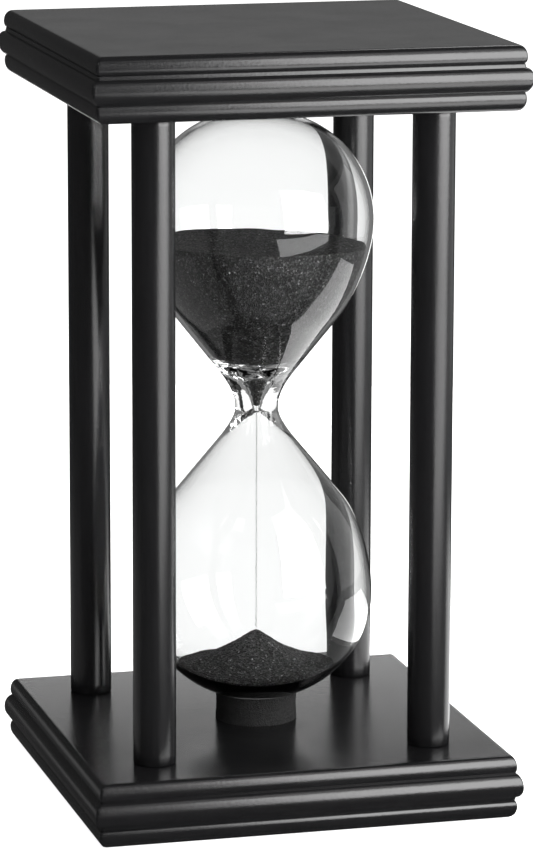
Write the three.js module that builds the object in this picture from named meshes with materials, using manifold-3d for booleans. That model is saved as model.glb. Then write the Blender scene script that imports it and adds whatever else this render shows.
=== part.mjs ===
// A desk hourglass: a glass bulb held by two foam seats between two moulded square
// plates, which four round posts join. Millimetres, +Z up. The origin is the centre
// of the base plate's underside.

import * as THREE from 'three'
import { mergeVertices } from 'three/addons/utils/BufferGeometryUtils.js'
import Module from 'manifold-3d'

// Driving dimensions

const HEIGHT = 230
const PLATE_WIDTH = 130 // over the widest bead
const PLATE_THICKNESS = 19
const POST_DIAMETER = 12.7
const POST_SPACING = 84 // centre to centre

const PIN_DIAMETER = 6 // fluted dowel pins inside the post joints
const PIN_DEPTH_IN_PLATE = 11
const PIN_DEPTH_IN_POST = 15
const PIN_FLUTES = 8
const FLUTE_DEPTH = 0.35

const BULB_DIAMETER = 70
const BULB_BOTTOM = 25.4
const BULB_TOP = 204.6
const WAIST_HEIGHT = 115.4
const BELLY_DISTANCE = 57 // from the waist to the widest ring of a lobe
const WAIST_DIAMETER = 13
const ORIFICE_DIAMETER = 1.6
const WALL = 1.4
const BOTTOM_WALL = 3 // the glass is thickest under the lower lobe
const SHOULDER_PULL = 9 // how softly the flank turns into the shoulder
const BELLY_PULL = 10 // how softly the shoulder turns into the belly
const ROUND_CAP = 0.5523 // fullness of a quarter ellipse
const SQUARE_CAP = 0.62
const FILLING_HOLE_DIAMETER = 6.4
const STOPPER_LENGTH = 1.8

const SEAT_DIAMETER = 25
const UPPER_SAND_LEVEL = 165.5 // height at the glass
const UPPER_SAND_DIP = 1.2 // how far the middle of the surface has sunk
const DIP_RADIUS = 12 // where the surface begins to sink faster
const PILE_PEAK = 46.9 // height of the lower heap's top
const PILE_RIM = 35.8 // height where the heap meets the glass
const PILE_RADIUS = 24
const PILE_RINGS = [19, 14, 9, 4] // radii at which the heap's slope is drawn
const PILE_HOLLOW = 1.5 // 1 would be a straight cone, more makes the sides hollow
const STREAM_DIAMETER = 0.8

const GAP = 0.3 // between neighbouring pieces
const ROUND_SIDES = 24
const BULB_SIDES = 32

// Sizes that follow

const TOP_PLATE_HEIGHT = HEIGHT - PLATE_THICKNESS
const POST_LENGTH = HEIGHT - 2 * PLATE_THICKNESS
const UPPER_POLE = BULB_TOP - WAIST_HEIGHT
const LOWER_POLE = WAIST_HEIGHT - BULB_BOTTOM
const POST_CORNERS = {
  front_left: [-1, -1],
  front_right: [1, -1],
  back_left: [-1, 1],
  back_right: [1, 1],
}

const MATERIALS = {
  lacquer: { color: 0x1b1b1c, roughness: 0.35, metalness: 0 },
  beech: { color: 0xc9a06c, roughness: 0.7, metalness: 0 },
  foam: { color: 0x161616, roughness: 0.95, metalness: 0 },
  glass: { color: 0xe8f0f0, roughness: 0.03, metalness: 0, transparent: true, opacity: 0.3 },
  cork: { color: 0xb08a5a, roughness: 0.9, metalness: 0 },
  sand: { color: 0x2a2a2b, roughness: 0.9, metalness: 0 },
}

const wasm = await Module()
wasm.setup()

// Shapes

function zUp(geometry) {
  return geometry.rotateX(Math.PI / 2)
}

// A solid of revolution about Z, from [radius, height] points that run up its outside.
function turned(points, sides = ROUND_SIDES) {
  const outline = points.map(([radius, height]) => new THREE.Vector2(radius, height))
  return zUp(new THREE.LatheGeometry(outline, sides))
}

// A square solid whose half width follows [half width, height] points, mitred at its corners.
function squareTurned(points) {
  const corners = points.map(([halfWidth, height]) => [halfWidth * Math.SQRT2, height])
  return turned(corners, 4).rotateZ(Math.PI / 4)
}

function cylinder(radius, bottom, top) {
  return turned([[0, bottom], [radius, bottom], [radius, top], [0, top]])
}

function toSolid(geometry) {
  const bare = geometry.clone()
  bare.deleteAttribute('normal')
  bare.deleteAttribute('uv')
  const merged = mergeVertices(bare)
  const corners = merged.index.array
  const triangles = []
  for (let i = 0; i < corners.length; i += 3) {
    const [a, b, c] = [corners[i], corners[i + 1], corners[i + 2]]
    if (a !== b && b !== c && c !== a) {
      triangles.push(a, b, c)
    }
  }
  return new wasm.Manifold(new wasm.Mesh({
    numProp: 3,
    vertProperties: new Float32Array(merged.attributes.position.array),
    triVerts: new Uint32Array(triangles),
  }))
}

function toGeometry(solid) {
  const mesh = solid.getMesh()
  const geometry = new THREE.BufferGeometry()
  geometry.setAttribute('position', new THREE.BufferAttribute(mesh.vertProperties, 3))
  geometry.setIndex(new THREE.BufferAttribute(mesh.triVerts, 1))
  geometry.computeVertexNormals()
  return geometry
}

function cut(geometry, tools) {
  let solid = toSolid(geometry)
  for (const tool of tools) {
    solid = solid.subtract(toSolid(tool))
  }
  return toGeometry(solid)
}

// Plates

// Half of the plate's edge moulding, as [half width, depth below the outer face]: a bold
// bead, a narrow fillet, a proud half round, a notch and a smaller bead.
function mouldingOutline() {
  const half = PLATE_WIDTH / 2
  const outline = new THREE.Path()
  outline.moveTo(half - 3.9, 0)
  outline.bezierCurveTo(half - 1.2, 0.2, half - 1.0, 3.4, half - 2.3, 5.3)
  outline.lineTo(half - 1.9, 6.5)
  outline.bezierCurveTo(half - 0.6, 6.6, half, 8, half, 9.6)
  outline.bezierCurveTo(half, 11.4, half - 0.8, 13.2, half - 2.1, 13.8)
  outline.bezierCurveTo(half - 1.2, 14.6, half - 1.6, 18.4, half - 3.4, PLATE_THICKNESS)
  const samplesPerCurve = 4
  return outline.getPoints(samplesPerCurve).map((point) => [point.x, point.y])
}

// The plate lies with its outer face at height 0 and its inner face up.
function plateShape() {
  const outline = [[0, 0], ...mouldingOutline(), [0, PLATE_THICKNESS]]
  const holes = Object.values(POST_CORNERS).map(([x, y]) => {
    const hole = cylinder(PIN_DIAMETER / 2 + GAP,
      PLATE_THICKNESS - PIN_DEPTH_IN_PLATE - GAP, PLATE_THICKNESS + 1)
    return hole.translate(x * POST_SPACING / 2, y * POST_SPACING / 2, 0)
  })
  return cut(squareTurned(outline), holes)
}

// Posts and their dowel pins

function postShape() {
  const holeDepth = PIN_DEPTH_IN_POST + GAP
  const holeRadius = PIN_DIAMETER / 2 + GAP
  const lowerHole = cylinder(holeRadius, -1, holeDepth)
  const upperHole = cylinder(holeRadius, POST_LENGTH - holeDepth, POST_LENGTH + 1)
  return cut(cylinder(POST_DIAMETER / 2, 0, POST_LENGTH), [lowerHole, upperHole])
}

// A fluted pin along Z, with its middle of length at height 0.
function pinShape() {
  const length = PIN_DEPTH_IN_PLATE + PIN_DEPTH_IN_POST
  const bevel = 0.6
  const star = new THREE.Shape()
  for (let i = 0; i < 2 * PIN_FLUTES; i++) {
    const angle = i * Math.PI / PIN_FLUTES
    const radius = PIN_DIAMETER / 2 - (i % 2 === 0 ? 0 : FLUTE_DEPTH)
    const [x, y] = [radius * Math.cos(angle), radius * Math.sin(angle)]
    if (i === 0) {
      star.moveTo(x, y)
    } else {
      star.lineTo(x, y)
    }
  }
  star.closePath()
  const shape = new THREE.ExtrudeGeometry(star, {
    depth: length - 2 * bevel,
    bevelEnabled: true,
    bevelThickness: bevel,
    bevelSize: bevel,
    bevelOffset: -bevel,
    bevelSegments: 1,
    steps: 1,
  })
  return shape.translate(0, 0, bevel - length / 2)
}

// Glass

// A lobe's outline as [radius, distance from the waist], from the waist to its pole, or to
// the rim of a hole there: a concave neck, a straight flank, a shoulder and a cap.
function lobeOutline(neck, flank, bellyRadius, poleDistance, holeRadius, fullness) {
  const [start, end] = flank.map(([radius, distance]) => new THREE.Vector2(radius, distance))
  const direction = end.clone().sub(start).normalize()
  const neckPull = start.clone().addScaledVector(direction, -neck.pullBack)
  const shoulderPull = end.clone().addScaledVector(direction, SHOULDER_PULL)
  const outline = new THREE.Path()
  outline.moveTo(neck.radius, 0)
  outline.bezierCurveTo(neck.pull[0], neck.pull[1], neckPull.x, neckPull.y, start.x, start.y)
  outline.lineTo(end.x, end.y)
  outline.bezierCurveTo(shoulderPull.x, shoulderPull.y,
    bellyRadius, BELLY_DISTANCE - BELLY_PULL, bellyRadius, BELLY_DISTANCE)
  const capHeight = poleDistance - BELLY_DISTANCE
  outline.bezierCurveTo(bellyRadius, BELLY_DISTANCE + fullness * capHeight,
    holeRadius + fullness * (bellyRadius - holeRadius), poleDistance, holeRadius, poleDistance)
  const samplesPerCurve = 6
  return outline.getPoints(samplesPerCurve).map((point) => [point.x, point.y])
}

function upperOutside(holeRadius) {
  const neck = { radius: WAIST_DIAMETER / 2, pull: [6.4, 4.5], pullBack: 3 }
  return lobeOutline(neck, [[11.6, 11.4], [23.9, 26.9]], BULB_DIAMETER / 2, UPPER_POLE,
    holeRadius, ROUND_CAP)
}

function lowerOutside() {
  const neck = { radius: WAIST_DIAMETER / 2, pull: [6.3, 3], pullBack: 3 }
  return lobeOutline(neck, [[11.8, 9.9], [25.8, 27]], BULB_DIAMETER / 2, LOWER_POLE, 0, ROUND_CAP)
}

// Above the orifice the cavity is a narrow funnel, then knees out to follow the wall.
function upperInside(holeRadius) {
  const neck = { radius: ORIFICE_DIAMETER / 2, pull: [2.6, 15.5], pullBack: 7 }
  return lobeOutline(neck, [[13.6, 16.6], [22.6, 27.9]],
    BULB_DIAMETER / 2 - WALL, UPPER_POLE - WALL, holeRadius, ROUND_CAP)
}

// Below the orifice the cavity opens as a cone.
function lowerInside() {
  const neck = { radius: ORIFICE_DIAMETER / 2, pull: [4.5, 4], pullBack: 5 }
  return lobeOutline(neck, [[11.5, 12.1], [24.5, 28]],
    BULB_DIAMETER / 2 - WALL, LOWER_POLE - BOTTOM_WALL, 0, SQUARE_CAP)
}

function upward(outline) {
  return outline.map(([radius, distance]) => [radius, WAIST_HEIGHT + distance])
}

function downward(outline) {
  return outline.map(([radius, distance]) => [radius, WAIST_HEIGHT - distance])
}

// One blown piece: up its outside to the filling hole, then down its inside.
function bulbShape() {
  const holeRadius = FILLING_HOLE_DIAMETER / 2
  const outside = [
    ...downward(lowerOutside()).reverse(),
    ...upward(upperOutside(holeRadius)).slice(1),
  ]
  const inside = [
    ...upward(upperInside(holeRadius)).reverse(),
    ...downward(lowerInside()).slice(1),
  ]
  return turned([...outside, ...inside], BULB_SIDES)
}

function stopperShape() {
  const radius = FILLING_HOLE_DIAMETER / 2 - GAP
  const top = BULB_TOP - GAP
  const bottom = top - STOPPER_LENGTH
  return turned([[0, bottom], [radius - 0.5, bottom], [radius, top - 1], [radius, top], [0, top]])
}

// Foam

// The lower seat stands on the base plate, dished to the underside of the bulb.
function lowerSeatShape() {
  const radius = SEAT_DIAMETER / 2
  const capHeight = LOWER_POLE - BELLY_DISTANCE
  const dish = []
  const steps = 5
  for (let i = steps; i >= 0; i--) {
    const ringRadius = radius * i / steps
    const rise = capHeight * Math.sqrt(1 - (2 * ringRadius / BULB_DIAMETER) ** 2)
    dish.push([ringRadius, WAIST_HEIGHT - BELLY_DISTANCE - rise - GAP])
  }
  return turned([[0, PLATE_THICKNESS], [radius, PLATE_THICKNESS], ...dish], BULB_SIDES)
}

// The upper seat is a flat disc between the bulb and the top plate.
function upperSeatShape() {
  return cylinder(SEAT_DIAMETER / 2, BULB_TOP + GAP, TOP_PLATE_HEIGHT)
}

// Sand

// A cavity's wall with the gap taken off its radius, between two distances from the waist.
function sandWall(wall, fromDistance, toDistance) {
  const radiusAt = (distance) => {
    const i = Math.max(1, wall.findIndex((point) => point[1] >= distance))
    const [[r0, d0], [r1, d1]] = [wall[i - 1], wall[i]]
    return r0 + (r1 - r0) * (distance - d0) / (d1 - d0)
  }
  const between = wall.filter(([, distance]) => distance > fromDistance && distance < toDistance)
  const ends = [fromDistance, toDistance].map((distance) => [radiusAt(distance), distance])
  return [ends[0], ...between, ends[1]].map(([radius, distance]) => [radius - GAP, distance])
}

function upperSandShape() {
  const outline = upward(sandWall(upperInside(0), 2 * GAP, UPPER_SAND_LEVEL - WAIST_HEIGHT))
  const surface = [
    [DIP_RADIUS, UPPER_SAND_LEVEL - 0.7 * UPPER_SAND_DIP],
    [0, UPPER_SAND_LEVEL - UPPER_SAND_DIP],
  ]
  return turned([[0, WAIST_HEIGHT + 2 * GAP], ...outline, ...surface], BULB_SIDES)
}

function lowerSandShape() {
  const deepest = LOWER_POLE - BOTTOM_WALL - 2 * GAP
  const rim = WAIST_HEIGHT - PILE_RIM
  const wall = downward(sandWall(lowerInside(), rim, deepest)).reverse()
  const fall = PILE_PEAK - PILE_RIM
  const heap = PILE_RINGS.map((radius) => {
    return [radius, PILE_RIM + fall * (1 - radius / PILE_RADIUS) ** PILE_HOLLOW]
  })
  return turned([[0, WAIST_HEIGHT - deepest], ...wall, ...heap, [0, PILE_PEAK]], BULB_SIDES)
}

function streamShape() {
  return cylinder(STREAM_DIAMETER / 2, PILE_PEAK + GAP, WAIST_HEIGHT + GAP)
}

// Assembly

const hourglass = new THREE.Group()

function add(name, geometry, materialName, parent = hourglass) {
  const mesh = new THREE.Mesh(geometry, new THREE.MeshStandardMaterial(MATERIALS[materialName]))
  mesh.name = name
  parent.add(mesh)
  return mesh
}

add('base_plate', plateShape(), 'lacquer')

const topPlate = add('top_plate', plateShape(), 'lacquer')
topPlate.rotation.x = Math.PI
topPlate.position.z = HEIGHT

for (const [corner, [x, y]] of Object.entries(POST_CORNERS)) {
  const column = new THREE.Group()
  column.position.set(x * POST_SPACING / 2, y * POST_SPACING / 2, PLATE_THICKNESS)
  hourglass.add(column)
  add(`${corner}_post`, postShape(), 'lacquer', column)
  const pinShift = (PIN_DEPTH_IN_POST - PIN_DEPTH_IN_PLATE) / 2
  add(`${corner}_lower_pin`, pinShape(), 'beech', column).position.z = pinShift
  add(`${corner}_upper_pin`, pinShape(), 'beech', column).position.z = POST_LENGTH - pinShift
}

add('lower_foam_seat', lowerSeatShape(), 'foam')
add('upper_foam_seat', upperSeatShape(), 'foam')

add('glass_bulb', bulbShape(), 'glass')
add('filling_stopper', stopperShape(), 'cork')
add('upper_sand', upperSandShape(), 'sand')
add('sand_stream', streamShape(), 'sand')
add('lower_sand', lowerSandShape(), 'sand')

export default hourglass
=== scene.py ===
"""The looks of the desk hourglass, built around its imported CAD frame. Metres, +Z up."""

import math
import random

import bpy
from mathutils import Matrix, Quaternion, Vector, noise

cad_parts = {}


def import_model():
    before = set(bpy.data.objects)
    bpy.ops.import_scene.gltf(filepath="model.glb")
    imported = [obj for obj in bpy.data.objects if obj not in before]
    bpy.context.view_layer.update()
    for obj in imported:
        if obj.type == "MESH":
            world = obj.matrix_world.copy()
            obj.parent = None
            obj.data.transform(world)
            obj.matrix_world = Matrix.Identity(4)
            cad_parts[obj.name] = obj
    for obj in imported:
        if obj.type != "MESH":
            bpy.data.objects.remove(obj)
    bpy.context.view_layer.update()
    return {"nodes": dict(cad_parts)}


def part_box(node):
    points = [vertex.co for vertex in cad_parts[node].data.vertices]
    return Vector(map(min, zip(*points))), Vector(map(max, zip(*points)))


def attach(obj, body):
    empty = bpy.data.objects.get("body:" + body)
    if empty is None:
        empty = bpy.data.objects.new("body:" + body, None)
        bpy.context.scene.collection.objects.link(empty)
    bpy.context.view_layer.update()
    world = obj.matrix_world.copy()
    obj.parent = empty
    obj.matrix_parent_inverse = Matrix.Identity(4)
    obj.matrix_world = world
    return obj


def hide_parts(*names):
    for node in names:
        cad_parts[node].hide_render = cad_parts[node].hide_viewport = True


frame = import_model()

MM = 0.001


# ---------------------------------------------------------------- light

# How bright the room is to a ray, by what the ray has met on its way there.
ROOM_BRIGHTNESS = 1.25              # nothing
THROUGH_GLASS = 1.15                # clear glass
SIDE_BRIGHTNESS = 0.4               # clear glass, and the ray goes toward a side of the room
MIRRORED_BRIGHTNESS = 0.05          # a glossy surface
INSIDE_GLASS_BRIGHTNESS = 0.25      # a glossy surface seen through glass, or the glass's own far side
AMBIENT_BRIGHTNESS = 0.35           # a matt surface

# The sides start and are full at these squares of the cosine to the room's sideways axis.
SIDE_AZIMUTH = math.radians(-15)
SIDE_STARTS, SIDE_FULL = 0.6, 0.95
FLOOR_GLOW = 0.9


# ---------------------------------------------------------------- sizes, from the frame where it has them

PLATE_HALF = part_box("base_plate")[1].x
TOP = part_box("top_plate")[1].z
GLASS_LOW, GLASS_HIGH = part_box("glass_bulb")
BELLY_RADIUS = GLASS_HIGH.x
SEAT_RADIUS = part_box("lower_foam_seat")[1].x
SAND_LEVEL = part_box("upper_sand")[1].z
PILE_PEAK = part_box("lower_sand")[1].z
STREAM_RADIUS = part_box("sand_stream")[1].x
WAIST = 115.4 * MM
UPPER_POLE = GLASS_HIGH.z - WAIST
LOWER_POLE = WAIST - GLASS_LOW.z
BELLY_DISTANCE = 57 * MM
NECK_RADIUS = 6.5 * MM
ORIFICE_RADIUS = 0.8 * MM
FILLING_HOLE_RADIUS = 3.2 * MM
WALL = 1.4 * MM
BOTTOM_WALL = 3 * MM
PILE_RIM = 35.8 * MM
PILE_RADIUS = 24 * MM

# How far a cap's curve is pulled toward its corner: a quarter ellipse, or a squarer cap.
ROUND, SQUARE = 0.5523, 0.62


# ---------------------------------------------------------------- mesh helpers

def bezier(start, pull_a, pull_b, end, steps):
    """Points of a cubic curve after its start, up to its end."""
    points = []
    for i in range(1, steps + 1):
        t = i / steps
        weights = ((1 - t) ** 3, 3 * t * (1 - t) ** 2, 3 * t * t * (1 - t), t ** 3)
        corners = (start, pull_a, pull_b, end)
        points.append(tuple(sum(w * c[k] for w, c in zip(weights, corners)) for k in (0, 1)))
    return points


def make_object(name, verts, faces, material, sharp=50):
    """A smooth-shaded object whose edges stay sharp above an angle in degrees."""
    mesh = bpy.data.meshes.new(name)
    mesh.from_pydata([tuple(v) for v in verts], [], faces)
    mesh.validate()
    mesh.polygons.foreach_set("use_smooth", [True] * len(mesh.polygons))
    mesh.set_sharp_from_angle(angle=math.radians(sharp))
    mesh.materials.append(material)
    obj = bpy.data.objects.new(name, mesh)
    bpy.context.scene.collection.objects.link(obj)
    return obj


def loft(rings):
    """Verts and faces of a closed solid through rings of equal length, capped at both ends."""
    sides = len(rings[0])
    verts = [point for ring in rings for point in ring]
    faces = []
    for k in range(len(rings) - 1):
        low, high = k * sides, (k + 1) * sides
        for i in range(sides):
            j = (i + 1) % sides
            faces.append((low + i, low + j, high + j, high + i))
    faces.append(tuple(reversed(range(sides))))
    last = (len(rings) - 1) * sides
    faces.append(tuple(range(last, last + sides)))
    return verts, faces


def revolve(outline, sides):
    """Verts and faces of a solid of revolution whose (radius, height) outline starts and ends on Z."""
    verts, faces = [], []
    inner = outline[1:-1]
    for radius, height in inner:
        for i in range(sides):
            angle = math.tau * i / sides
            verts.append((radius * math.cos(angle), radius * math.sin(angle), height))
    for k in range(len(inner) - 1):
        low, high = k * sides, (k + 1) * sides
        for i in range(sides):
            j = (i + 1) % sides
            faces.append((low + i, low + j, high + j, high + i))
    first, last = len(verts), len(verts) + 1
    verts += [(0, 0, outline[0][1]), (0, 0, outline[-1][1])]
    end = (len(inner) - 1) * sides
    for i in range(sides):
        j = (i + 1) % sides
        faces.append((first, j, i))
        faces.append((last, end + i, end + j))
    return verts, faces


# ---------------------------------------------------------------- material helpers

class Nodes:
    """A material's node tree, with short calls to add and link nodes."""

    def __init__(self, name):
        self.material = bpy.data.materials.new(name)
        self.material.use_nodes = True
        self.tree = self.material.node_tree
        self.shader = self.tree.nodes["Principled BSDF"]
        self.place = self.tree.nodes.new("ShaderNodeTexCoord").outputs["Object"]

    def link(self, source, target):
        self.tree.links.new(source, target)

    def set(self, **values):
        for key, value in values.items():
            self.shader.inputs[key.replace("_", " ")].default_value = value

    def stretched(self, x, y, z):
        """Object coordinates scaled along each axis, so that less than 1 draws a pattern out."""
        node = self.tree.nodes.new("ShaderNodeMapping")
        node.inputs["Scale"].default_value = (x, y, z)
        self.link(self.place, node.inputs["Vector"])
        return node.outputs["Vector"]

    def height(self):
        """The height above the floor, in metres."""
        node = self.tree.nodes.new("ShaderNodeSeparateXYZ")
        self.link(self.place, node.inputs["Vector"])
        return node.outputs["Z"]

    def noise(self, size, detail=4.0, rough=0.55, place=None):
        """Noise from 0 to 1 whose features are about size metres."""
        node = self.tree.nodes.new("ShaderNodeTexNoise")
        node.inputs["Scale"].default_value = 1 / size
        node.inputs["Detail"].default_value = detail
        node.inputs["Roughness"].default_value = rough
        self.link(place or self.place, node.inputs["Vector"])
        return node.outputs["Fac"]

    def cells(self, size, output="Distance", place=None):
        """Cells about size metres wide: the distance to each one's middle, or its colour."""
        node = self.tree.nodes.new("ShaderNodeTexVoronoi")
        node.inputs["Scale"].default_value = 1 / size
        self.link(place or self.place, node.inputs["Vector"])
        return node.outputs[output]

    def ramp(self, value, *stops):
        """A colour ramp with (position, grey or colour) stops."""
        node = self.tree.nodes.new("ShaderNodeValToRGB")
        elements = node.color_ramp.elements
        while len(elements) < len(stops):
            elements.new(0.5)
        for element, (position, colour) in zip(elements, stops):
            element.position = position
            rgb = (colour,) * 3 if isinstance(colour, (int, float)) else colour
            element.color = (*rgb, 1)
        self.link(value, node.inputs["Fac"])
        return node.outputs["Color"]

    def blend(self, colour, factor):
        """The colour multiplied by a second one."""
        node = self.tree.nodes.new("ShaderNodeMix")
        node.data_type, node.blend_type = "RGBA", "MULTIPLY"
        node.inputs["Factor"].default_value = 1.0
        sockets = [i for i in node.inputs if i.type == "RGBA"]
        self.link(colour, sockets[0])
        self.link(factor, sockets[1])
        return next(o for o in node.outputs if o.type == "RGBA")

    def bump(self, height, distance, strength=1.0, below=None):
        node = self.tree.nodes.new("ShaderNodeBump")
        node.inputs["Distance"].default_value = distance
        node.inputs["Strength"].default_value = strength
        self.link(height, node.inputs["Height"])
        if below is not None:
            self.link(below, node.inputs["Normal"])
        return node.outputs["Normal"]

    def finish(self, colour=None, roughness=None, normal=None):
        for source, key in ((colour, "Base Color"), (roughness, "Roughness"), (normal, "Normal")):
            if source is not None:
                self.link(source, self.shader.inputs[key])
        return self.material


# ---------------------------------------------------------------- materials

def lacquer(name, grain, smoothest, roughest):
    """Satin black lacquer over wood: the grain, given as three scales, shows faintly through."""
    n = Nodes(name)
    n.set(IOR=1.5)
    along = n.stretched(*grain)
    fibre = n.noise(0.9 * MM, detail=5, place=along)
    peel = n.noise(0.8 * MM, detail=2)
    cloud = n.noise(18 * MM, detail=3)
    colour = n.ramp(fibre, (0.3, (0.0035, 0.0035, 0.0038)), (0.7, (0.0055, 0.0055, 0.0058)))
    roughness = n.ramp(cloud, (0.3, smoothest), (0.7, roughest))
    normal = n.bump(fibre, 0.03 * MM, 0.6)
    normal = n.bump(peel, 0.03 * MM, 0.8, below=normal)
    return n.finish(colour, roughness, normal)


def foam_material():
    n = Nodes("black_foam")
    n.set(IOR=1.35)
    pore_depth_and_painted_shade = n.cells(0.42 * MM)
    fine = n.noise(0.25 * MM, detail=3)
    # The colour darkens toward each pore's middle, where the bump is deepest: painted shade in the pores.
    colour = n.ramp(pore_depth_and_painted_shade, (0.0, 0.0015), (0.3, 0.004), (0.6, 0.015))
    rough = n.ramp(fine, (0.3, 0.8), (0.7, 0.95))
    normal = n.bump(pore_depth_and_painted_shade, 0.3 * MM, 0.9)
    normal = n.bump(fine, 0.12 * MM, 0.6, below=normal)
    return n.finish(colour, rough, normal)


def glass_material():
    """Blown glass: gently uneven, and rippled round the neck, where it was drawn in."""
    n = Nodes("clear_glass")
    n.set(IOR=1.5, Transmission_Weight=1.0, Base_Color=(0.985, 0.99, 0.988, 1))
    wave = n.noise(14 * MM, detail=1)
    haze = n.noise(30 * MM, detail=4)
    roughness = n.ramp(haze, (0.35, 0.0), (0.75, 0.015))
    ripple = n.noise(1.6 * MM, detail=1, place=n.stretched(0.35, 0.35, 1))
    low, most, high = WAIST - 9 * MM, WAIST + 8 * MM, WAIST + 16 * MM
    at_neck = n.ramp(n.height(), (low, 0.0), (WAIST, 0.6), (most, 1.0), (high, 0.0))
    normal = n.bump(wave, 0.05 * MM, 0.25)
    normal = n.bump(n.blend(ripple, at_neck), 0.5 * MM, 0.5, below=normal)
    return n.finish(None, roughness, normal)


def sand_material():
    """Black sand: dark grains of mixed greys, with a few polished ones whose near-white colour is a
    painted glint.
    """
    n = Nodes("black_sand")
    n.set(IOR=1.5)
    grain_tone_and_painted_glints = n.cells(0.5 * MM, "Color")
    dust = n.noise(0.35 * MM, detail=4, rough=0.7)
    # The top stops of this ramp turn a few cells near white: painted glints. The stops below are the
    # grains' own mixed greys.
    grey = n.ramp(grain_tone_and_painted_glints, (0.0, 0.005), (0.5, 0.035), (0.85, 0.17), (0.95, 0.5), (0.965, 1.0))
    grey = n.blend(grey, n.ramp(dust, (0.35, 0.15), (0.65, 1.0)))
    roughness = n.ramp(grain_tone_and_painted_glints, (0.0, 0.75), (0.93, 0.6), (0.96, 0.2))
    normal = n.bump(n.cells(0.5 * MM), 0.3 * MM, 0.9)
    normal = n.bump(dust, 0.2 * MM, 0.7, below=normal)
    return n.finish(grey, roughness, normal)


def beech_material():
    n = Nodes("bare_beech")
    fibre = n.noise(0.6 * MM, detail=5, place=n.stretched(1, 1, 0.06))
    colour = n.ramp(fibre, (0.3, (0.42, 0.25, 0.12)), (0.7, (0.66, 0.45, 0.25)))
    roughness = n.ramp(fibre, (0.3, 0.75), (0.7, 0.55))
    return n.finish(colour, roughness, n.bump(fibre, 0.05 * MM, 0.6))


def cork_material():
    n = Nodes("cork")
    crumbs = n.cells(0.7 * MM, "Color")
    dark, middle, light = (0.24, 0.13, 0.06), (0.45, 0.28, 0.14), (0.58, 0.40, 0.22)
    colour = n.ramp(crumbs, (0.0, dark), (0.35, middle), (1.0, light))
    roughness = n.ramp(crumbs, (0.0, 0.95), (1.0, 0.8))
    return n.finish(colour, roughness, n.bump(n.cells(0.7 * MM), 0.1 * MM, 0.6))


def floor_material():
    n = Nodes("pale_floor")
    cloud = n.noise(0.25, detail=2)
    colour = n.ramp(cloud, (0.3, 0.88), (0.7, 0.9))
    n.set(Specular_IOR_Level=0.1, Emission_Color=(1, 1, 1, 1), Emission_Strength=FLOOR_GLOW)
    return n.finish(colour, n.ramp(cloud, (0.3, 0.85), (0.7, 0.9)))


# ---------------------------------------------------------------- plates

def moulding(steps):
    """The plate's edge as (half width, depth below the outer face).

    It is a bold bead, a fillet, a half round, a notch and a smaller bead.
    """
    def at(inset, depth):
        return PLATE_HALF - inset * MM, depth * MM

    line = [at(3.9, 0)]
    line += bezier(line[-1], at(1.2, 0.1), at(1.0, 5.0), at(2.3, 5.3), steps)
    line += bezier(line[-1], at(2.1, 5.3), at(1.95, 5.7), at(1.9, 6.5), steps // 2)
    line += bezier(line[-1], at(0.6, 6.6), at(0, 8.0), at(0, 9.6), steps)
    line += bezier(line[-1], at(0, 11.4), at(0.8, 13.2), at(2.1, 13.8), steps)
    line += bezier(line[-1], at(1.2, 14.6), at(1.6, 18.4), at(3.4, 19), steps)
    return line


def square_ring(half, radius, height, arc_steps):
    """A square ring with rounded corners."""
    ring = []
    middle = half - radius
    for quarter in range(4):
        start = quarter * math.pi / 2
        cx = middle * (1, -1, -1, 1)[quarter]
        cy = middle * (1, 1, -1, -1)[quarter]
        for i in range(arc_steps + 1):
            angle = start + math.pi / 2 * i / arc_steps
            ring.append((cx + radius * math.cos(angle), cy + radius * math.sin(angle), height))
    return ring


def plate(name, node, upside_down, material):
    """A moulded board. Its outer face is the floor side unless it is upside down.

    A supporting ring just inside each flat face keeps its shading flat.
    """
    corner, arc_steps, support = 0.8 * MM, 8, 0.4 * MM
    line = moulding(steps=12)
    face_half, back_half = line[0][0], line[-1][0]
    line = [(face_half - support, line[0][1])] + line + [(back_half - support, line[-1][1])]
    rings = [square_ring(half, corner, depth, arc_steps) for half, depth in line]
    verts, faces = loft(rings)
    if upside_down:
        verts = [(x, -y, TOP - z) for x, y, z in verts]
    obj = make_object(name, verts, faces, material)
    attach(obj, "stand")
    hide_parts(node)
    return obj


# ---------------------------------------------------------------- posts

def post(name, node, material):
    """A round post with a fine chamfer at each end, slightly uneven as turned wood is."""
    low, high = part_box(node)
    centre, radius = (low + high) / 2, (high.x - low.x) / 2
    chamfer, sides, length_steps = 0.35 * MM, 72, 60
    unevenness, around, along, apart = 0.03 * MM, 2, 25, 90
    heights = [low.z + (high.z - low.z) * i / length_steps for i in range(length_steps + 1)]
    levels = [(low.z, radius - chamfer), (low.z + chamfer, radius)]
    levels += [(z, radius) for z in heights[1:-1]]
    levels += [(high.z - chamfer, radius), (high.z, radius - chamfer)]
    rings = []
    for z, ring_radius in levels:
        ring = []
        for i in range(sides):
            angle = math.tau * i / sides
            right, back = math.cos(angle), math.sin(angle)
            spot = Vector((right * around + centre.x * apart, back * around, z * along))
            uneven = ring_radius - unevenness * (1 + noise.noise(spot))
            ring.append((centre.x + uneven * right, centre.y + uneven * back, z))
        rings.append(ring)
    obj = make_object(name, *loft(rings), material)
    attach(obj, "stand")
    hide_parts(node)
    return obj


# ---------------------------------------------------------------- glass

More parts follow.
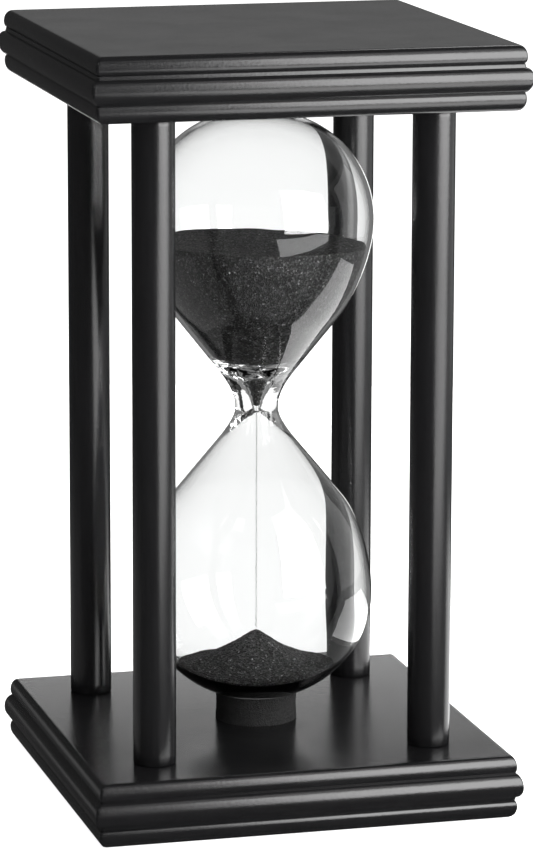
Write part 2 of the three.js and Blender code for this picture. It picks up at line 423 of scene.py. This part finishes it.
def lobe(neck_radius, neck_pull, pull_back, flank, belly, pole, hole, fullness, steps):
    """A lobe's outline as (radius, distance from the waist), from the waist to its pole or hole.

    It curves from the neck into a straight flank, then round the belly and over the cap. The neck's
    pull, the pull back from the flank and the flank's two ends are in millimetres, the rest in metres.
    """
    shoulder_pull, belly_pull = 9, 10
    start, end = (Vector(point) * MM for point in flank)
    direction = (end - start).normalized()
    into_flank = start - direction * pull_back * MM
    out_of_flank = end + direction * shoulder_pull * MM
    into_belly = (belly, BELLY_DISTANCE - belly_pull * MM)
    line = [(neck_radius, 0.0)]
    line += bezier(line[0], Vector(neck_pull) * MM, into_flank, start, steps)
    line += [tuple(start.lerp(end, i / steps)) for i in range(1, steps + 1)]
    line += bezier(end, out_of_flank, into_belly, (belly, BELLY_DISTANCE), steps)
    cap = pole - BELLY_DISTANCE
    pull_up = (belly, BELLY_DISTANCE + fullness * cap)
    pull_in = (hole + fullness * (belly - hole), pole)
    line += bezier(line[-1], pull_up, pull_in, (hole, pole), 2 * steps)
    return line


def upper_outside(hole, steps=20):
    return lobe(NECK_RADIUS, (6.4, 4.5), 3, ((11.6, 11.4), (23.9, 26.9)),
                BELLY_RADIUS, UPPER_POLE, hole, ROUND, steps)


def lower_outside(steps=20):
    return lobe(NECK_RADIUS, (6.3, 3), 3, ((11.8, 9.9), (25.8, 27)),
                BELLY_RADIUS, LOWER_POLE, 0, ROUND, steps)


def upper_inside(hole=0.0, steps=20):
    """Above the orifice: a narrow funnel that knees out to follow the wall."""
    return lobe(ORIFICE_RADIUS, (2.6, 15.5), 7, ((14.3, 16.6), (23.1, 27.6)),
                BELLY_RADIUS - WALL, UPPER_POLE - WALL, hole, ROUND, steps)


def lower_inside(steps=20):
    """Below the orifice: a cone."""
    return lobe(ORIFICE_RADIUS, (4.5, 4), 5, ((11.4, 10.9), (25.0, 27.4)),
                BELLY_RADIUS - WALL, LOWER_POLE - BOTTOM_WALL, 0, SQUARE, steps)


def upward(line):
    return [(radius, WAIST + distance) for radius, distance in line]


def downward(line):
    return [(radius, WAIST - distance) for radius, distance in line]


def glass_bulb(material):
    """One blown piece: up its outside to the filling hole, then down its inside."""
    hole = FILLING_HOLE_RADIUS
    outside = downward(lower_outside())[::-1] + upward(upper_outside(hole))[1:]
    inside = upward(upper_inside(hole))[::-1] + downward(lower_inside())[1:]
    obj = make_object("blown_bulb", *revolve(outside + inside, sides=144), material)
    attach(obj, "bulb")
    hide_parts("glass_bulb")
    return obj


# ---------------------------------------------------------------- foam

def dish(radius):
    """The height of the bulb's underside at a radius, less a gap."""
    gap = 0.15 * MM
    cap = LOWER_POLE - BELLY_DISTANCE
    return WAIST - BELLY_DISTANCE - cap * math.sqrt(1 - (radius / BELLY_RADIUS) ** 2) - gap


def foam_seat(name, node, pressed, material):
    """A sponge disc with a grainy cut side, pressed to a dish on top or left flat."""
    low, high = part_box(node)
    side_steps, face_steps, sides = 26, 26, 200
    waisting, rough_from = 0.25 * MM, 0.8 * SEAT_RADIUS
    grain_size, grain_depth = 0.5 * MM, 0.13 * MM
    swell_size, swell_depth, inset = 4 * MM, 0.12 * MM, 0.16 * MM
    rim = dish(SEAT_RADIUS) if pressed else high.z
    line = [(0, low.z), (SEAT_RADIUS * 0.5, low.z), (SEAT_RADIUS, low.z)]
    for i in range(1, side_steps):
        t = i / side_steps
        line.append((SEAT_RADIUS - waisting * math.sin(math.pi * t), low.z + (rim - low.z) * t))
    for i in range(face_steps + 1):
        radius = SEAT_RADIUS * (1 - i / face_steps)
        line.append((radius, dish(radius) if pressed else rim))
    verts, faces = revolve(line, sides)
    rough = []
    for v in verts:
        p = Vector(v)
        side = math.hypot(p.x, p.y)
        if side > rough_from:
            shake = noise.fractal(p / grain_size, 1.0, 2.0, 3) * grain_depth
            shake += noise.noise(p / swell_size) * swell_depth - inset
            p.x *= 1 + shake / side
            p.y *= 1 + shake / side
        rough.append(p)
    obj = make_object(name, rough, faces, material)
    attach(obj, "stand")
    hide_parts(node)
    return obj


# ---------------------------------------------------------------- sand

def wall_radius(distance, wall):
    """The cavity's radius at a distance from the waist."""
    for (r0, d0), (r1, d1) in zip(wall, wall[1:]):
        if d0 <= distance <= d1:
            return r0 + (r1 - r0) * (distance - d0) / (d1 - d0)
    return wall[-1][0]


def sand_body(name, node, surface, up, material):
    """Sand that fills a lobe from its narrow or round end to a free surface.

    surface(x, y) is the height of the free surface, and up is 1 in the upper lobe, -1 below.
    """
    wall = upper_inside(steps=24) if up > 0 else lower_inside(steps=24)
    gap, above_waist = 0.06 * MM, 0.5 * MM
    end = above_waist if up > 0 else LOWER_POLE - BOTTOM_WALL - gap
    sides, top_rings, wall_rings = 240, 110, 60
    grain_size, grain_height = 0.7 * MM, 0.2 * MM
    rim_fade, search_steps = 30, 60

    # Where the free surface meets the wall, found in each direction by stepping halfway there.
    contacts = []
    for i in range(sides):
        angle = math.tau * i / sides
        direction = Vector((math.cos(angle), math.sin(angle)))
        radius = BELLY_RADIUS / 2
        for _ in range(search_steps):
            height = surface(direction.x * radius, direction.y * radius)
            target = wall_radius(up * (height - WAIST), wall) - gap
            radius += 0.5 * (target - radius)
        contacts.append((direction, radius, up * (height - WAIST)))

    # The grains on the free surface fade out at its rim, so that it meets the wall in a clean line.
    verts, faces = [], []
    for ring in range(1, top_rings + 1):
        share = ring / top_rings
        for direction, radius, _ in contacts:
            x, y = direction.x * radius * share, direction.y * radius * share
            calm = min(1.0, (1 - share) * rim_fade)
            grain = noise.fractal(Vector((x, y, up)) / grain_size, 1.0, 2.0, 3)
            verts.append(Vector((x, y, surface(x, y) + calm * grain * grain_height)))

    # Down the wall to the end. In the lower lobe the rings crowd toward the round bottom.
    for ring in range(1, wall_rings):
        share = ring / wall_rings
        if up < 0:
            share = math.sin(share * math.pi / 2)
        for direction, _, distance in contacts:
            along = distance + (end - distance) * share
            radius = wall_radius(along, wall) - gap
            verts.append(Vector((direction.x * radius, direction.y * radius, WAIST + up * along)))

    rings = top_rings + wall_rings - 1
    first, last = len(verts), len(verts) + 1
    verts += [Vector((0, 0, surface(0, 0))), Vector((0, 0, WAIST + up * end))]
    final = (rings - 1) * sides
    for i in range(sides):
        j = (i + 1) % sides
        faces.append((first, i, j))
        faces.append((last, final + j, final + i))
        for k in range(rings - 1):
            inner, outer = k * sides, (k + 1) * sides
            faces.append((inner + i, outer + i, outer + j, inner + j))
    obj = make_object(name, verts, faces, material, sharp=80)
    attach(obj, "bulb")
    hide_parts(node)
    return obj


def upper_sand(material):
    """A nearly level surface that has begun to sink in the middle, and falls to the right and back."""
    span, dip = 32 * MM, 1.4 * MM
    fall_right, fall_back = 0.03, 0.034
    wave_size, wave_height = 9 * MM, 0.4 * MM

    def surface(x, y):
        out = math.hypot(x, y) / span
        wave = noise.noise(Vector((x, y, 0)) / wave_size) * wave_height
        level = SAND_LEVEL - fall_right * x - fall_back * y
        return level - dip * max(0.0, 1 - out * out) + wave

    return sand_body("sand_above", "upper_sand", surface, 1, material)


def lower_sand(material):
    """A heap with a rounded peak and hollow flanks, its waves fading out at the peak."""
    fall = PILE_PEAK - PILE_RIM
    peak_round, peak_lift, hollow = 0.05, 0.03, 1.5
    wave_size, wave_height, wave_seat, wave_growth = 7 * MM, 0.35 * MM, 5 * MM, 3

    def surface(x, y):
        out = math.hypot(x, y) / PILE_RADIUS
        rounded = math.hypot(out, peak_round) - peak_lift
        heap = max(0.0, 1 - rounded) ** hollow
        wave = noise.noise(Vector((x, y, wave_seat)) / wave_size) * wave_height
        return PILE_RIM + fall * heap + wave * min(1.0, out * wave_growth)

    return sand_body("sand_below", "lower_sand", surface, -1, material)


def falling_sand(material):
    """The stream as loose grains, a little wider as it falls."""
    low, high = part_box("sand_stream")
    length = high.z - low.z
    count, smallest, largest, lengthened = 1300, 0.03, 0.055, 1.5
    narrowest, widening = 0.55, 0.3
    corners = [Vector(c) for c in ((1, 1, 1), (-1, -1, 1), (-1, 1, -1), (1, -1, -1))]
    rng = random.Random(7)
    verts, faces = [], []
    for i in range(count):
        z = low.z + length * (i + rng.random()) / count
        spread = STREAM_RADIUS * (narrowest + widening * (high.z - z) / length)
        angle, out = rng.random() * math.tau, spread * math.sqrt(rng.random())
        size = rng.uniform(smallest, largest) * MM
        centre = Vector((out * math.cos(angle), out * math.sin(angle), z))
        base = len(verts)
        verts += [centre + Vector((c.x * size, c.y * size, c.z * size * lengthened)) for c in corners]
        faces += [(base, base + 1, base + 3), (base, base + 3, base + 2),
                  (base, base + 2, base + 1), (base + 1, base + 2, base + 3)]
    obj = make_object("falling_sand", verts, faces, material)
    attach(obj, "bulb")
    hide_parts("sand_stream")
    return obj


# ---------------------------------------------------------------- scene

def paint_node(name, material):
    """Give a CAD piece that stays as it is a material."""
    node = frame["nodes"][name]
    node.data.materials.clear()
    node.data.materials.append(material)


def camera():
    """The photo's view: a long lens, a little to the left of the front and above."""
    azimuth, elevation, roll = math.radians(-15.1), math.radians(11.65), math.radians(0.15)
    distance, aim_right, aim_height = 1.344, 3.0 * MM, 109.5 * MM
    aim = Vector((aim_right * math.cos(azimuth), aim_right * math.sin(azimuth), aim_height))
    back = Vector((math.sin(azimuth) * math.cos(elevation),
                   -math.cos(azimuth) * math.cos(elevation), math.sin(elevation)))
    data = bpy.data.cameras.new("camera")
    data.lens, data.sensor_width = 188.7, 36.0
    data.clip_start, data.clip_end = 0.05, 60
    cam = bpy.data.objects.new("camera", data)
    cam.location = aim + back * distance
    cam.rotation_mode = "QUATERNION"
    cam.rotation_quaternion = (-back).to_track_quat("-Z", "Y") @ Quaternion((0, 0, 1), roll)
    bpy.context.scene.collection.objects.link(cam)
    bpy.context.scene.camera = cam


def lamp(name, centre, facing, width, height, radiance):
    """A soft rectangular lamp, seen only as light and in gloss."""
    data = bpy.data.lights.new(name, "AREA")
    data.shape = "RECTANGLE"
    data.size, data.size_y = width, height
    data.energy = radiance * math.pi * width * height
    obj = bpy.data.objects.new(name, data)
    obj.location = centre
    obj.rotation_mode = "QUATERNION"
    obj.rotation_quaternion = Vector(facing).to_track_quat("-Z", "Y")
    obj.visible_camera = False
    obj.visible_transmission = False
    bpy.context.scene.collection.objects.link(obj)
    return obj


def softbox(name, azimuth, distance, width, bottom, top, radiance, seen_through=False):
    """An upright panel that faces the hourglass, from bottom to top above the floor.

    Azimuth 0 is in front of it (-Y) and 90 is on its right (+X).
    """
    a = math.radians(azimuth)
    out = Vector((math.sin(a), -math.cos(a), 0))
    centre = out * distance + Vector((0, 0, (bottom + top) / 2))
    panel = lamp(name, centre, -out, width, top - bottom, radiance)
    panel.visible_transmission = seen_through


def floor_card(name, low, high, radiance):
    """A bright card on the floor beside the hourglass, between two corners.

    It leans back by a hair, which settles which way round it lies.
    """
    above_floor, lean = 3 * MM, 0.0001
    centre = Vector(((low[0] + high[0]) / 2, (low[1] + high[1]) / 2, above_floor))
    lamp(name, centre, Vector((0, lean, 1)), high[0] - low[0], high[1] - low[1], radiance)


def world():
    """A white room with darker side walls to look through, and a dim one for gloss to mirror."""
    w = bpy.data.worlds.new("room")
    bpy.context.scene.world = w
    w.use_nodes = True
    tree = w.node_tree
    path = tree.nodes.new("ShaderNodeLightPath").outputs
    direction = tree.nodes.new("ShaderNodeTexCoord").outputs["Generated"]

    def chosen(when, otherwise, factor):
        mix = tree.nodes.new("ShaderNodeMix")
        for key, value in (("A", otherwise), ("B", when), ("Factor", factor)):
            if isinstance(value, float):
                mix.inputs[key].default_value = value
            else:
                tree.links.new(value, mix.inputs[key])
        return mix.outputs["Result"]

    sideways = tree.nodes.new("ShaderNodeVectorMath")
    sideways.operation = "DOT_PRODUCT"
    sideways.inputs[1].default_value = (math.cos(SIDE_AZIMUTH), math.sin(SIDE_AZIMUTH), 0)
    tree.links.new(direction, sideways.inputs[0])
    squared = tree.nodes.new("ShaderNodeMath")
    squared.operation = "MULTIPLY"
    tree.links.new(sideways.outputs["Value"], squared.inputs[0])
    tree.links.new(sideways.outputs["Value"], squared.inputs[1])
    to_side = tree.nodes.new("ShaderNodeMapRange")
    to_side.inputs["From Min"].default_value = SIDE_STARTS
    to_side.inputs["From Max"].default_value = SIDE_FULL
    tree.links.new(squared.outputs[0], to_side.inputs["Value"])

    room = chosen(SIDE_BRIGHTNESS, THROUGH_GLASS, to_side.outputs["Result"])
    mirrored = chosen(INSIDE_GLASS_BRIGHTNESS, MIRRORED_BRIGHTNESS, path["Transmission Depth"])
    room = chosen(mirrored, room, path["Glossy Depth"])
    room = chosen(AMBIENT_BRIGHTNESS, room, path["Diffuse Depth"])
    room = chosen(ROOM_BRIGHTNESS, room, path["Is Camera Ray"])
    tree.links.new(room, tree.nodes["Background"].inputs["Strength"])
    tree.nodes["Background"].inputs["Color"].default_value = (1, 1, 1, 1)


def lamps():
    """Lamps and cards placed by the lights that the photo's glass and lacquer mirror."""
    softbox("key_lamp", azimuth=42, distance=1.0, width=1.15, bottom=0.05, top=0.9, radiance=10,
            seen_through=True)
    softbox("high_lamp", azimuth=36, distance=1.0, width=0.9, bottom=0.9, top=1.7, radiance=1.5,
            seen_through=True)
    softbox("left_lamp", azimuth=-50, distance=1.0, width=0.6, bottom=0.95, top=1.5, radiance=2)
    softbox("side_lamp", azimuth=96, distance=0.7, width=0.5, bottom=0.0, top=0.5, radiance=0.8)
    softbox("rear_lamp", azimuth=164, distance=0.62, width=0.36, bottom=0.0, top=0.165, radiance=1.9)
    softbox("rear_wall", azimuth=164, distance=0.62, width=0.36, bottom=0.27, top=0.45, radiance=0.2)
    softbox("high_rear_lamp", azimuth=140, distance=1.0, width=0.6, bottom=0.95, top=1.5, radiance=3)
    floor_card("front_card", low=(0.05, -0.85), high=(0.85, -0.33), radiance=4.5)
    floor_card("right_card", low=(0.068, -0.06), high=(0.36, 0.12), radiance=3)
    floor_card("left_card", low=(-0.36, -0.03), high=(-0.085, 0.3), radiance=0.2)


def floor(material):
    """A pale floor, just below the base, that gloss and glass don't show."""
    size, below_base = 14.0, 0.2 * MM
    verts = [(-size, -size, 0), (size, -size, 0), (size, size, 0), (-size, size, 0)]
    obj = make_object("floor", verts, [(0, 1, 2, 3)], material)
    obj.location.z = -below_base
    obj.visible_glossy = False
    obj.visible_transmission = False


def render_settings():
    """True tones, and enough bounces for light to cross the bulb's four glass surfaces."""
    scene = bpy.context.scene
    scene.view_settings.view_transform = "Standard"
    scene.cycles.use_denoising = True
    scene.cycles.max_bounces = 24
    scene.cycles.transmission_bounces = 20
    scene.cycles.glossy_bounces = 8
    scene.cycles.diffuse_bounces = 4


def build():
    board = lacquer("black_lacquer_board", (0.07, 1, 1), 0.19, 0.23)
    column = lacquer("black_lacquer_post", (1, 1, 0.06), 0.23, 0.26)
    foam = foam_material()
    sand = sand_material()
    plate("base_board", "base_plate", False, board)
    plate("top_board", "top_plate", True, board)
    for corner in ("front_left", "front_right", "back_left", "back_right"):
        post(f"{corner}_column", f"{corner}_post", column)
    foam_seat("lower_sponge", "lower_foam_seat", True, foam)
    foam_seat("upper_sponge", "upper_foam_seat", False, foam)
    glass_bulb(glass_material())
    upper_sand(sand)
    lower_sand(sand)
    falling_sand(sand)
    beech = beech_material()
    for name in frame["nodes"]:
        if name.endswith("_pin"):
            paint_node(name, beech)
    paint_node("filling_stopper", cork_material())


build()
floor(floor_material())
world()
camera()
lamps()
render_settings()
